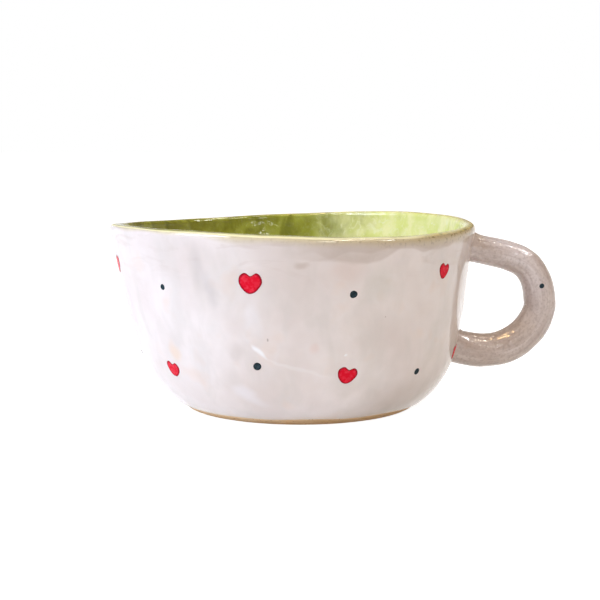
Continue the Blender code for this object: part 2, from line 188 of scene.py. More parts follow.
# Runs below the rim: size of the waves in a lower edge, and its height
GLAZE_RUNS = [(0.016, 0.0545), (0.009, 0.0562)]
RUN_STRAY = 0.0045
RUN_EDGE = 0.0008
RUNS_START = -0.012
RUNS_FULL = 0.006
SPECK_SPACING = 0.007
KHAKI_FLECK = 0.0011
FLECKS_START = -0.02
FLECKS_FULL = 0.05
COIL_STREAK = 0.0016
COIL_STRETCH = 0.12
COIL_GRAIN = 0.0009
COIL_RIPPLE = 0.0024
LIME_CLOUD = 0.015
LIME_STRAY = 0.025
LIME_PATCH = 0.006
LIME_RUN = 0.005
LIME_CRYSTAL = 0.0035
LIME_RIPPLE = 0.003
# Where the lime lining's painted shade ends, and where its paler lit side starts, along X
OLIVE_END = 0.002
PALE_START = 0.040
SETTLED_END = 0.008
RIPPLED_START = 0.022
GOLD_FLECK = 0.0014
GOLD_START = 0.024
GOLD_FULL = 0.048
BRUSH_STROKE = 0.0011
GLAZE_IOR = 1.5
NOISE_MIDDLE = (0.5, 0.5, 0.5)

# Painted motifs, at the places that the solids give them
UPPER_HEART = (0.0065, 0.0058)
LOWER_HEART = (0.0058, 0.0051)
HEART_NOTCH = 0.42
NOTCH_SHARPNESS = 24
HEART_TAPER = 0.25
# Tilt in degrees and size of each heart, and size of each dot, in the order of their nodes
HEARTS = {
    "upper": [(-10, 0.86), (-4, 1.10), (0, 1.0), (6, 1.0), (-7, 0.97)],
    "lower": [(4, 1.0), (-12, 1.10), (-11, 1.05), (5, 0.97), (-6, 1.04), (8, 1.0)],
}
DOTS = {"upper": [1.02, 0.82, 1.0, 0.95, 1.05], "lower": [1.0, 1.1, 0.6, 1.0, 0.95]}
DOT_RADIUS = 0.00115
HANDLE_DOT_RADIUS = 0.00085
PAINT_ROOT = 0.00018
PAINT_REACH = 0.004
PAINT_RAY = 0.05

# Fineness of the meshes
TURN_STEPS = 400
SKIN_STEPS = 100
BACK_STEPS = 24
LIP_STEPS = 18
EDGE_STEPS = 5
FLOOR_STEPS = 26
BEND_STEPS = 90
COIL_SIDES = 72
MOTIF_POINTS = 64
WELD_DISTANCE = 1e-7

# Rings of a painted patch: share of its outline, height above the glaze, and how dark its edge is there
PATCH_RINGS = [
    (1.0, -0.00004, 1.0),
    (0.97, 0.00003, 1.0),
    (0.92, 0.00007, 0.9),
    (0.85, 0.00009, 0.45),
    (0.76, 0.00010, 0.0),
    (0.50, 0.00010, 0.0),
    (0.25, 0.00010, 0.0),
    (0.0, 0.00010, 0.0),
]

# Camera, from the fit of the cup's outline to the photo
IMAGE_SIZE = 600
FOCAL_PIXELS = 1358
CENTRE_PIXEL = (292.4, 312.5)
VIEW_TURN = math.radians(-6)
EYE_DISTANCE = 0.450
EYE_HEIGHT = 0.0923
AIM_HEIGHT = RIM_HEIGHT / 2
SENSOR_WIDTH = 36
NEAR_CLIP = 0.01

# Light: the sweep's white ends between two heights of the view direction, which is a unit vector
SWEEP_TOP = 0.10
SWEEP_END = 0.30
AMBIENT_COLOUR = "#FFE7CF"
AMBIENT_STRENGTH = 0.32
FLOOR_SIZE = 8
FLOOR_GLOW = 0.5
FLOOR_GLOW_STRENGTH = 1.86
# Lamps: name, azimuth and elevation in degrees, width, height, watts, colour
LAMPS = [
    ("window on the left", 196, 42, 0.45, 0.60, 10.6, "#D4E3FE"),
    ("card in front", 226, 15, 0.30, 0.30, 0.6, "#F4FAFF"),
]
# Lamps that only light, and bulbs that only show as glints in the gloss, listed in the same way
FILL_LAMPS = [
    ("fill in front", 302, 42, 0.30, 0.30, 1.5, "#FFF6EA"),
    ("warm fill above", 300, 80, 0.30, 0.30, 1.5, "#FFE8C8"),
]
GLINT_LAMPS = [
    ("strip in front", 287, 30, 0.06, 0.24, 1.2, "#FFFFFF"),
    ("bulb on the right", 348, 49, 0.12, 0.12, 2.8, "#FFFFFF"),
    ("bulb above, right", 330, 68, 0.14, 0.10, 2.8, "#FFF2DC"),
    ("bulb behind", 40, 66, 0.16, 0.12, 3.0, "#FFF4E4"),
    ("bulb on the left", 198, 58, 0.10, 0.10, 2.2, "#FFFFFF"),
    ("warm bulb above, left", 215, 76, 0.18, 0.10, 3.4, "#FFD490"),
    ("warm bulb above, middle", 270, 83, 0.18, 0.10, 3.4, "#FFD490"),
]
LAMP_DISTANCE = 1.0


# Small helpers


def linear(hex_colour):
    """Linear RGBA of an sRGB hex colour."""
    shares = [int(hex_colour[i : i + 2], 16) / 255 for i in (1, 3, 5)]
    curve = [share / 12.92 if share <= 0.04045 else ((share + 0.055) / 1.055) ** 2.4 for share in shares]
    return (*curve, 1.0)


def plug(tree, node, inputs):
    """Sets a node's inputs, by name or number, to values, sockets or the first live output of nodes."""
    for key, value in inputs.items():
        if isinstance(value, bpy.types.Node):
            value = next(socket for socket in value.outputs if socket.enabled)
        if isinstance(value, bpy.types.NodeSocket):
            tree.links.new(value, node.inputs[key])
        else:
            node.inputs[key].default_value = value


def add(tree, kind, inputs=None, **settings):
    """Adds a node, a shader node if its kind is short: settings are its properties, inputs are plugged in.

    By number, a Map Range turns 1 to 2 into 3 to 4, and a Mix has its share at 0 and colours at 6 and 7.
    """
    node = tree.nodes.new(kind if "Node" in kind else "ShaderNode" + kind)
    for name, value in settings.items():
        setattr(node, name, value)
    plug(tree, node, inputs or {})
    return node


def new_tree(name, inputs, outputs):
    """A Geometry Nodes tree with sockets given as name: kind, and the sockets of its two group nodes."""
    tree = bpy.data.node_groups.new(name, "GeometryNodeTree")
    for side, sockets in (("INPUT", inputs), ("OUTPUT", outputs)):
        for socket, kind in sockets.items():
            tree.interface.new_socket(socket, in_out=side, socket_type="NodeSocket" + kind)
    return tree, tree.nodes.new("NodeGroupInput").outputs, tree.nodes.new("NodeGroupOutput").inputs


def link_object(name, data):
    made = bpy.data.objects.new(name, data)
    bpy.context.scene.collection.objects.link(made)
    return made


def grown(name, mesh, tree, values):
    """The plain mesh object that a tree makes of a mesh, with its named inputs set to values."""
    seed = link_object(name + "_seed", mesh)
    modifier = seed.modifiers.new(tree.name, "NODES")
    modifier.node_group = tree
    for item in tree.interface.items_tree:
        if item.in_out == "INPUT" and item.name in values:
            modifier[item.identifier] = values[item.name]
    bpy.context.view_layer.update()
    result = bpy.data.meshes.new_from_object(seed.evaluated_get(bpy.context.evaluated_depsgraph_get()))
    bpy.data.objects.remove(seed)
    result.name = name
    return link_object(name, result)


def finished(piece, slot, *nodes):
    """Puts a piece on the mug in place of CAD nodes."""
    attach(piece, "root")
    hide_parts(*nodes)


def cubic(corners, share):
    """The point at a share of the way along a cubic curve, from its four control points."""
    start, leave, reach, end = corners
    rest = 1 - share
    ends = rest**3 * start + share**3 * end
    return ends + 3 * rest * share * (rest * leave + share * reach)


def cubic_travel(corners, share):
    """The direction of travel there."""
    start, leave, reach, end = corners
    rest = 1 - share
    ends = rest**2 * (leave - start) + share**2 * (end - reach)
    return (ends + 2 * rest * share * (reach - leave)).normalized()


def smooth(share):
    """An even step from 0 to 1 as share goes from 0 to 1."""
    share = min(1.0, max(0.0, share))
    return share * share * (3 - 2 * share)


def waves(angle, counts, turn):
    """A smooth wavering between -1 and 1 round the cup, from a few sine waves."""
    return sum(math.sin(count * angle + turn * count * count) for count in counts) / len(counts)


# The cup's surface


@functools.cache
def outside_line(steps):
    """(point, outward normal) pairs up the finished outside: a cubic curve of radius and height."""
    along_wall = Vector((math.sin(WALL_LEAN), math.cos(WALL_LEAN)))
    start = Vector((FOOT_RADIUS, 0))
    end = LIP_CENTRE + LIP_RADIUS * Vector((along_wall.y, -along_wall.x))
    leave_foot = start + HEEL_PULL * Vector((math.cos(HEEL_ANGLE), math.sin(HEEL_ANGLE)))
    corners = (start, leave_foot, end - WALL_PULL * along_wall, end)
    line = []
    for step in range(steps + 1):
        travel = cubic_travel(corners, step / steps)
        line.append((cubic(corners, step / steps), Vector((travel.y, -travel.x))))
    return line


def inset(line, depth):
    """The line moved into the wall by depth, and run on straight at its lower end past the table."""
    points = [point - depth * normal for point, normal in line]
    first_normal = line[0][1]
    downward = Vector((first_normal.y, -first_normal.x))
    return [points[0] + 2 * WALL_THICKNESS * downward] + points


def evened(points, steps):
    """The same line with points at even distances along it."""
    lengths = [0.0]
    for here, after in zip(points, points[1:]):
        lengths.append(lengths[-1] + (after - here).length)
    spots = []
    i = 0
    for step in range(steps + 1):
        goal = lengths[-1] * step / steps
        while i < len(points) - 2 and lengths[i + 1] < goal:
            i += 1
        share = (goal - lengths[i]) / (lengths[i + 1] - lengths[i])
        spots.append(points[i].lerp(points[i + 1], share))
    return spots


def above(points, low):
    """The part of a rising line above a height, with its new end exactly there."""
    for i, (here, after) in enumerate(zip(points, points[1:])):
        if here.y < low <= after.y:
            return [here.lerp(after, (low - here.y) / (after.y - here.y))] + points[i + 1 :]
    return points


def lip_arc(radius, start, end, steps):
    """Points over the lip, which is a little fuller than round."""
    outward = Vector((math.cos(WALL_LEAN), -math.sin(WALL_LEAN)))
    upward = Vector((math.sin(WALL_LEAN), math.cos(WALL_LEAN)))
    power = 2 / LIP_FULLNESS
    arc = []
    for step in range(steps + 1):
        turn = start + (end - start) * step / steps
        across = math.copysign(abs(math.cos(turn)) ** power, math.cos(turn))
        rise = abs(math.sin(turn)) ** power
        arc.append(LIP_CENTRE + radius * (across * outward + rise * upward))
    return arc


def hand_shape(radius, height, angle):
    """Where a turned point goes on the leaning, slightly oval cup with its saddle-shaped, wavy rim."""
    share = max(0.0, height / RIM_HEIGHT)
    shift = RIM_SHIFT * smooth(share)
    oval = radius * (1 + OUT_OF_ROUND / RIM_RADIUS * share * math.cos(2 * angle))
    tilt = RIM_TILT * math.cos(angle) - RIM_BACK_DROP * math.sin(angle)
    saddle = RIM_SADDLE * math.sin(2 * angle + SADDLE_TURN) + LIP_WAVE * waves(angle, (5, 8, 13), 0.7)
    lift = (saddle + tilt) * share**3 * radius / RIM_RADIUS
    return Vector((oval * math.cos(angle) + shift, oval * math.sin(angle), height + lift))


def outside_at(height, angle):
    """The point of the finished outside at a height and an angle."""
    return hand_shape(above(inset(outside_line(SKIN_STEPS), 0), height)[0].x, height, angle)


def mesh_of(shape, name):
    """The smooth mesh that a bmesh holds, with its faces turned outwards."""
    bmesh.ops.recalc_face_normals(shape, faces=shape.faces)
    mesh = bpy.data.meshes.new(name)
    shape.to_mesh(mesh)
    shape.free()
    mesh.shade_smooth()
    return mesh


def turned(name, section, closed):
    """A mesh turned from section(angle), a list of (point, thinness) pairs, closed or from axis to axis.

    Thinness, from 0 to 1, is how far the glaze thins out towards an edge, and level is the height before
    the hand shaping. The mesh keeps both as attributes.
    """
    shell = bmesh.new()
    thin = shell.verts.layers.float.new("thinness")
    level = shell.verts.layers.float.new("level")
    rings = []
    for step in range(TURN_STEPS):
        angle = 2 * math.pi * step / TURN_STEPS
        ring = []
        for point, thinness in section(angle):
            ring.append(shell.verts.new(hand_shape(point.x, point.y, angle)))
            ring[-1][thin] = thinness
            ring[-1][level] = point.y
        rings.append(ring)
    count = len(rings[0])
    for ring, after in zip(rings, rings[1:] + rings[:1]):
        for i in range(count if closed else count - 1):
            j = (i + 1) % count
            shell.faces.new((ring[i], after[i], after[j], ring[j]))
    bmesh.ops.remove_doubles(shell, verts=shell.verts, dist=WELD_DISTANCE)
    return mesh_of(shell, name)


def finger_marks(radius, height, angle):
    """How far the finger marks push the outside out, where it has a radius, at a height and an angle."""
    push = 0.0
    for (start_degrees, start_height), (end_degrees, end_height), width, depth in FINGER_MARKS:
        start_turn = math.radians(start_degrees) - angle
        start_over = radius * math.atan2(math.sin(start_turn), math.cos(start_turn))
        start = Vector((start_over, start_height - height))
        end_over = start_over + radius * math.radians(end_degrees - start_degrees)
        end = Vector((end_over, end_height - height))
        along = end - start
        share = min(1.0, max(0.0, -start.dot(along) / along.length_squared))
        push += depth * math.exp(-(start + share * along).length_squared / width**2)
    return push


def thinned(points, length):
    """(point, thinness) pairs: thinness rises from 0 to 1 over a length before the line's end."""
    pairs = []
    left = 0.0
    after = points[-1]
    for point in reversed(points):
        left += (after - point).length
        pairs.append((point, 1 - smooth(left / length)))
        after = point
    return pairs[::-1]


# Materials


def new_material(name):
    material = bpy.data.materials.new(name)
    material.use_nodes = True
    tree = material.node_tree
    return material, tree, tree.nodes["Principled BSDF"], add(tree, "TexCoord").outputs["Object"]


def tinted(tree, body, pattern, low, high, strength, tint):
    """A colour with a tint laid over it, up to a strength, where a noise pattern rises from low to high."""
    noise = add(tree, "TexNoise", pattern)
    share = add(tree, "MapRange", {0: noise, 1: low, 2: high, 4: strength})
    return add(tree, "Mix", {0: share, 6: body, 7: linear(tint)}, data_type="RGBA")


def bare_stoneware():
    """Fired stoneware without glaze: warm tan and matt, with fine grog that shows as darker grit."""
    material, tree, shader, place = new_material("bare stoneware")
    cloud = {"Vector": place, "Scale": 1 / CLAY_CLOUD, "Detail": 4.0}
    body = tinted(tree, linear("#FBD29A"), cloud, 0.0, 1.0, 1.0, "#FFE8C6")
    grit = add(tree, "TexNoise", {"Vector": place, "Scale": 1 / CLAY_GRIT, "Detail": 2.0})
    dark = add(tree, "MapRange", {0: grit, 1: 0.62, 2: 0.72})
    colour = add(tree, "Mix", {0: dark, 6: body, 7: linear("#D0AA7C")}, data_type="RGBA")
    bump = add(tree, "Bump", {"Height": grit, "Strength": 0.35, "Distance": 0.0003})
    plug(tree, shader, {"Base Color": colour, "Normal": bump, "Roughness": 0.82})
    return material


def white_glaze():
    """Warm white gloss glaze, poured and brushed on: never quite even, wet-looking and slightly rippled.

    It has soft clouds, wisps that go round the cup, greyer runs with crisp lower edges below the rim on the
    handle's side, stains and a few iron specks, and painted light: painted shade in two finger dents, by a
    ridge, at the far left and low on the handle's side, and a painted glint, its tail, a spark and pale
    patches. It turns khaki where it thins out and the clay shows.
    """
    material, tree, shader, place = new_material("warm white gloss glaze")
    cloud = {"Vector": place, "Scale": 1 / WHITE_CLOUD, "Detail": 3.0}
    body = tinted(tree, linear("#E6DCD6"), cloud, 0.36, 0.64, 1.0, "#F3ECE8")
    upright = add(tree, "Mapping", {"Vector": place, "Scale": (1, 1, 0.45)})
    mottle = {"Vector": upright, "Scale": 1 / WHITE_MOTTLE, "Detail": 3.0, "Distortion": 0.3}
    body = tinted(tree, body, mottle, 0.46, 0.66, 0.38, "#D8D3CB")
    flat = add(tree, "Mapping", {"Vector": place, "Scale": (1, 1, 3.5)})
    wisp = {"Vector": flat, "Scale": 1 / WHITE_WISP, "Detail": 5.0, "Distortion": 0.6}
    level = add(tree, "Attribute", attribute_name="level").outputs["Fac"]
    near_rim = add(tree, "MapRange", {0: level, 1: WISPS_START, 2: WISPS_FULL, 3: 0.04, 4: 0.55})
    body = tinted(tree, body, wisp, 0.52, 0.70, near_rim, "#CFC0B5")
    peach = {"Vector": place, "Scale": 1 / PEACH_CLOUD, "Detail": 2.0}
    body = tinted(tree, body, peach, 0.60, 0.76, 0.4, "#EAD3C2")

    # Stains, and painted shade and highlights, from the list; their edges stray a little
    wander = add(tree, "TexNoise", {"Vector": place, "Scale": 1 / STAIN_AND_LIGHT_EDGE, "Detail": 1.0})
    centred = add(tree, "VectorMath", {0: wander.outputs["Color"], 1: NOISE_MIDDLE}, operation="SUBTRACT")
    stray = {0: centred, 1: (STAIN_AND_LIGHT_WANDER, STAIN_AND_LIGHT_WANDER, STAIN_AND_LIGHT_WANDER), 2: place}
    strayed = add(tree, "VectorMath", stray, operation="MULTIPLY_ADD")
    for (degrees, height), lean, width, length, strength, tint in GLAZE_STAINS_AND_PAINTED_LIGHT:
        angle = math.radians(degrees)
        turn = Matrix.Rotation(angle, 3, "Z") @ Matrix.Rotation(math.radians(lean), 3, "X")
        spot = {
            "Vector": strayed,
            "Location": outside_at(height, angle),
            "Rotation": turn.to_euler(),
            "Scale": (STAIN_AND_LIGHT_DEPTH, width, length),
        }
        near = add(tree, "Mapping", spot, vector_type="TEXTURE")
        away = add(tree, "VectorMath", {0: near}, operation="LENGTH")
        fade = {0: away, 1: 0.2, 2: 1.0, 3: strength, 4: 0.0}
        share = add(tree, "MapRange", fade, interpolation_type="SMOOTHSTEP")
        body = add(tree, "Mix", {0: share, 6: body, 7: linear(tint)}, data_type="RGBA")

    axes = add(tree, "SeparateXYZ", {0: place}).outputs
    side = add(tree, "MapRange", {0: axes["X"], 1: RUNS_START, 2: RUNS_FULL, 4: 0.5})
    for size, foot in GLAZE_RUNS:
        edge = add(tree, "TexNoise", {"Vector": place, "Scale": 1 / size, "Detail": 0.0})
        stray = add(tree, "MapRange", {0: edge, 3: -RUN_STRAY, 4: RUN_STRAY})
        height = add(tree, "Math", {0: level, 1: stray}, operation="ADD")
        share = add(tree, "MapRange", {0: height, 1: foot, 2: foot + RUN_EDGE, 4: side})
        body = add(tree, "Mix", {0: share, 6: body, 7: linear("#C9BAAE")}, data_type="RGBA")

    cells = add(tree, "TexVoronoi", {"Vector": place, "Scale": 1 / SPECK_SPACING})
    speck = add(tree, "MapRange", {0: cells, 1: 0.02, 2: 0.05, 3: 0.6, 4: 0.0})
    draw = add(tree, "SeparateColor", {0: cells.outputs["Color"]})
    chosen = add(tree, "Math", {0: draw, 1: 0.75}, operation="GREATER_THAN")
    share = add(tree, "Math", {0: speck, 1: chosen}, operation="MULTIPLY")
    body = add(tree, "Mix", {0: share, 6: body, 7: linear("#8C6E55")}, data_type="RGBA")

    fleck = {"Vector": place, "Scale": 1 / KHAKI_FLECK, "Detail": 2.0}
    most = add(tree, "MapRange", {0: axes["X"], 1: FLECKS_START, 2: FLECKS_FULL, 3: 0.2})
    khaki = tinted(tree, linear("#D2C49A"), fleck, 0.54, 0.70, most, "#8A7747")
    thin = add(tree, "Attribute", attribute_name="thinness").outputs["Fac"]
    colour = add(tree, "Mix", {0: thin, 6: body, 7: khaki}, data_type="RGBA")
    ripple = add(tree, "TexNoise", {"Vector": place, "Scale": 1 / WHITE_RIPPLE, "Detail": 2.5})
    bump = add(tree, "Bump", {"Height": ripple, "Strength": 0.5, "Distance": 0.0002})
    dull = add(tree, "MapRange", {0: thin, 3: 0.05, 4: 0.16})
    plug(tree, shader, {"Base Color": colour, "Roughness": dull, "Normal": bump, "IOR": GLAZE_IOR})
    return material


def coil_glaze():
    """The white glaze on the coil, taupe and darker than on the wall, with streaks along it.

    It is wet-looking, and its fine ripples break each reflected lamp into sparks.
    """
    material, tree, shader, place = new_material("darker white gloss glaze")
    along = add(tree, "Attribute", attribute_name="along").outputs["Fac"]
    around = add(tree, "Attribute", attribute_name="around").outputs["Fac"]
    stretched = add(tree, "Math", {0: along, 1: COIL_STRETCH}, operation="MULTIPLY")
    turn = add(tree, "Math", {0: around, 1: 2 * math.pi}, operation="MULTIPLY")
    over = add(tree, "Math", {0: turn}, operation="COSINE")
    up = add(tree, "Math", {0: turn}, operation="SINE")
    ring = add(tree, "CombineXYZ", {1: over, 2: up})
    ring = add(tree, "VectorMath", {0: ring, "Scale": COIL_TOP_RADIUS}, operation="SCALE")
    line = add(tree, "CombineXYZ", {0: stretched})
    rolled = add(tree, "VectorMath", {0: ring, 1: line}, operation="ADD")
    streak = {"Vector": rolled, "Scale": 1 / COIL_STREAK, "Detail": 3.0, "Distortion": 0.4}
    body = tinted(tree, linear("#C8BAB5"), streak, 0.28, 0.72, 1.0, "#ECE3E0")
    grain = {"Vector": place, "Scale": 1 / COIL_GRAIN, "Detail": 2.0}
    colour = tinted(tree, body, grain, 0.48, 0.68, 0.45, "#B2A49E")
    ripple = add(tree, "TexNoise", {"Vector": place, "Scale": 1 / COIL_RIPPLE, "Detail": 3.0})
    bump = add(tree, "Bump", {"Height": ripple, "Strength": 0.7, "Distance": 0.0005})
    plug(tree, shader, {"Base Color": colour, "Normal": bump, "Roughness": 0.04, "IOR": GLAZE_IOR})
    return material


def lime_glaze():
    """Lime gloss glaze, poured in: painted darker olive on the side away from the handle, as painted shade.

    It runs down the wall, darkest in runs on that shaded side, settles smooth on the floor, and glitters
    with pale crystals and a rippled gloss, mostly on the lit side towards the handle.
    On the lip it is thin and drier, and breaks to cream, or to a speckled gold by the handle.
    """
    material, tree, shader, place = new_material("lime gloss glaze")
    axes = add(tree, "SeparateXYZ", {0: place}).outputs
    # Painted shade: olive on the side away from the handle, paler lime towards it, with a wavering border
    cloud = add(tree, "TexNoise", {"Vector": place, "Scale": 1 / LIME_CLOUD, "Detail": 4.0})
    stray = add(tree, "MapRange", {0: cloud, 3: -LIME_STRAY, 4: LIME_STRAY})
    across = add(tree, "Math", {0: axes["X"], 1: stray}, operation="ADD")
    shade_to_light = add(tree, "MapRange", {0: across, 1: OLIVE_END, 2: PALE_START})
    patch = {"Vector": place, "Scale": 1 / LIME_PATCH, "Detail": 3.0, "Distortion": 0.5}
    pale = tinted(tree, linear("#E3E78C"), patch, 0.38, 0.62, 1.0, "#F4F1B2")
    olive = tinted(tree, linear("#8A8B2C"), patch, 0.38, 0.62, 1.0, "#A2A540")
    body = add(tree, "Mix", {0: shade_to_light, 6: olive, 7: pale}, data_type="RGBA")

    runs_in_shade = add(tree, "MapRange", {0: shade_to_light, 3: 0.7, 4: 0.0})
    upright = add(tree, "Mapping", {"Vector": place, "Scale": (1, 1, 0.4)})
    runs = {"Vector": upright, "Scale": 1 / LIME_RUN, "Detail": 4.0, "Distortion": 0.8}
    body = tinted(tree, body, runs, 0.50, 0.66, runs_in_shade, "#6E6F1E")
    most = add(tree, "MapRange", {0: shade_to_light, 3: 0.08, 4: 0.9})
    crystals = {
        "Vector": place,
        "Scale": 1 / LIME_CRYSTAL,
        "Detail": 6.0,
        "Roughness": 0.7,
        "Distortion": 1.2,
    }
    body = tinted(tree, body, crystals, 0.52, 0.66, most, "#F1F1BE")

    fleck = {"Vector": place, "Scale": 1 / GOLD_FLECK, "Detail": 2.0}
    gold = tinted(tree, linear("#C4B068"), fleck, 0.48, 0.62, 1.0, "#7E7038")
    golden = add(tree, "MapRange", {0: across, 1: GOLD_START, 2: GOLD_FULL})
    edge = add(tree, "Mix", {0: golden, 6: linear("#F3ECBE"), 7: gold}, data_type="RGBA")
    thin = add(tree, "Attribute", attribute_name="thinness").outputs["Fac"]
    colour = add(tree, "Mix", {0: thin, 6: body, 7: edge}, data_type="RGBA")
    ripple = add(tree, "TexNoise", {"Vector": place, "Scale": 1 / LIME_RIPPLE, "Detail": 3.0})
    settled = add(tree, "MapRange", {0: axes["Z"], 1: SETTLED_END, 2: RIPPLED_START, 3: 0.12})
    relief = add(tree, "Math", {0: ripple, 1: settled}, operation="MULTIPLY")
    bump = add(tree, "Bump", {"Height": relief, "Strength": 0.6, "Distance": 0.0005})
    dry = add(tree, "MapRange", {0: thin, 3: 0.08, 4: 0.45})
    plug(tree, shader, {"Base Color": colour, "Normal": bump, "Roughness": dry})
    plug(tree, shader, {"IOR": GLAZE_IOR, "Specular IOR Level": 0.35})
    return material


def brushed_colour(name, middle, streak, edge):
    """Underglaze colour brushed on: streaked where the brush ran dry, darker in a line at the edge."""
    material, tree, shader, place = new_material(name)
    stroke = {"Vector": place, "Scale": 1 / BRUSH_STROKE, "Detail": 3.0}
    body = tinted(tree, linear(middle), stroke, 0.45, 0.68, 1.0, streak)
    rim = add(tree, "Attribute", attribute_name="rim").outputs["Fac"]
    colour = add(tree, "Mix", {0: rim, 6: body, 7: linear(edge)}, data_type="RGBA")
    plug(tree, shader, {"Base Color": colour, "Roughness": 0.2})
    plug(tree, shader, {"IOR": GLAZE_IOR, "Specular IOR Level": 0.04})
    return material


# Clay and glaze shells


def pressed_tree():
    """Pushes a shell in and out as fingers do: broad soft dents that fade out at the foot and the rim."""
    numbers = ("Depth", "Spacing", "Seed", "Foot Level", "Rim Level", "Fade")
    inputs = {"Shell": "Geometry", **dict.fromkeys(numbers, "Float"), "Finish": "Material"}
    tree, give, take = new_tree("pressed by hand", inputs, {"Shell": "Geometry"})
    place = add(tree, "GeometryNodeInputPosition")
    axes = add(tree, "SeparateXYZ", {0: place}).outputs
    flat = add(tree, "CombineXYZ", {0: axes["X"], 1: axes["Y"]})
    outward = add(tree, "VectorMath", {0: flat}, operation="NORMALIZE")
    tall = add(tree, "VectorMath", {0: place, 1: (1, 1, 0.6)}, operation="MULTIPLY")
    scale = add(tree, "Math", {0: 1.0, 1: give["Spacing"]}, operation="DIVIDE")
    noise_inputs = {"Vector": tall, "W": give["Seed"], "Scale": scale, "Detail": 1.0}
    noise = add(tree, "TexNoise", noise_inputs, noise_dimensions="4D")
    centred = add(tree, "Math", {0: noise, 1: 0.5}, operation="SUBTRACT")
    dent = add(tree, "Math", {0: centred, 1: give["Depth"]}, operation="MULTIPLY")
    foot_end = add(tree, "Math", {0: give["Foot Level"], 1: give["Fade"]}, operation="ADD")
    rim_start = add(tree, "Math", {0: give["Rim Level"], 1: give["Fade"]}, operation="SUBTRACT")
    from_foot = {0: axes["Z"], 1: give["Foot Level"], 2: foot_end}
    to_rim = {0: axes["Z"], 1: rim_start, 2: give["Rim Level"], 3: 1.0, 4: 0.0}
    foot_mask = add(tree, "MapRange", from_foot, interpolation_type="SMOOTHSTEP")
    rim_mask = add(tree, "MapRange", to_rim, interpolation_type="SMOOTHSTEP")
    mask = add(tree, "Math", {0: foot_mask, 1: rim_mask}, operation="MULTIPLY")
    push = add(tree, "Math", {0: dent, 1: mask}, operation="MULTIPLY")
    offset = add(tree, "VectorMath", {0: outward, "Scale": push}, operation="SCALE")
    moved = add(tree, "GeometryNodeSetPosition", {"Geometry": give["Shell"], "Offset": offset})
    real = add(tree, "GeometryNodeRealizeInstances", {0: moved})
    dressed = add(tree, "GeometryNodeSetMaterial", {"Geometry": real, "Material": give["Finish"]})
    tree.links.new(dressed.outputs[0], take["Shell"])
    return tree


def glaze_line(angle):
    """The height at which the white coat was wiped off above the foot."""
    return GLAZE_LINE + GLAZE_LINE_WAVE * waves(angle, (3, 7, 11), 1.3)


def lining_edge(angle):
    """The lip angle at which the green coat stops: poured out over the front, it comes furthest there."""
    middle = LINING_EDGE_ANGLE + LINING_EDGE_TURN * math.sin(angle)
    return middle + LINING_EDGE_WAVE * waves(angle, (4, 9, 15), 0.4)


def thin_length(length, turn, angle):
    """The wavering length over which a coat thins out at the lip, by turn longer on the handle's side."""
    return length * (1 + turn * math.cos(angle) + THIN_LENGTH_WAVE * waves(angle, (6, 10, 17), 2.1))


def white_coat_section(angle):
    """Up the outside from a rounded lower edge to under the green coat, and down the back."""
    low = glaze_line(angle)
    lip_end = lining_edge(angle) + LINING_OVERLAP
    line = []
    for point, normal in outside_line(SKIN_STEPS):
        line.append((point + finger_marks(point.x, point.y, angle) * normal, normal))
    skin = evened(above(inset(line, 0), low + COAT), SKIN_STEPS)
    back = evened(above(inset(line, COAT), low + COAT / 3), BACK_STEPS)
    edge = [back[0].lerp(skin[0], share) - Vector((0, COAT / 3)) for share in GLAZE_EDGE_SHARES]
    over = skin + lip_arc(LIP_RADIUS, 0, lip_end, LIP_STEPS)[1:]
    section = []
    for point, thinness in thinned(over, thin_length(WHITE_THINS_OVER, WHITE_THIN_TURN, angle)):
        at_foot = FOOT_EDGE_THINNESS * (1 - smooth((point.y - low) / THIN_EDGE_HEIGHT))
        section.append((point, max(thinness, at_foot)))
    under = lip_arc(LIP_RADIUS - COAT, lip_end, 0, EDGE_STEPS)[:-1] + back[::-1] + edge
    return section + [(point, FOOT_EDGE_THINNESS) for point in under]


def lining_section(angle):
    """From the middle of the floor up the inside, over the lip to a rounded edge, and back below."""
    edge_angle = lining_edge(angle)
    line = outside_line(SKIN_STEPS)
    side = above(inset(line, WALL_THICKNESS), FLOOR_HEIGHT)
    corner = side[0]
    pool_start = corner - Vector((FLOOR_CORNER_LEG, 0))
    rise = [point for point in side if (point - corner).length > FLOOR_CORNER_LEG]
    pool = []
    for step in range(1, LIP_STEPS):
        share = step / LIP_STEPS
        pool.append(pool_start.lerp(corner, share).lerp(corner.lerp(rise[0], share), share))
    floor = [Vector((pool_start.x * step / FLOOR_STEPS, FLOOR_HEIGHT)) for step in range(FLOOR_STEPS + 1)]
    inside = evened(floor[-1:] + pool + rise, SKIN_STEPS)
    under = evened(above(inset(line, WALL_THICKNESS - COAT), FLOOR_HEIGHT - COAT), BACK_STEPS)[::-1]
    reach = under[-1].x
    under += [Vector((reach * (1 - step / EDGE_STEPS), under[-1].y)) for step in range(1, EDGE_STEPS + 1)]
    top = floor[:-1] + inside + lip_arc(LIP_RADIUS + LINING_EDGE_LIFT, math.pi, edge_angle, LIP_STEPS)[1:]
    below = lip_arc(LIP_RADIUS - COAT, edge_angle, math.pi, EDGE_STEPS)[:-1] + under
    length = thin_length(LIME_THINS_OVER, LIME_THIN_TURN, angle)
    return thinned(top, length) + [(point, 1.0) for point in below]


def pressed_shell(name, section, closed, tree, dents, finish):
    """A turned coat with the dents of fingers in it."""
    return grown(name, turned(name, section, closed), tree, {**dents, "Finish": finish})


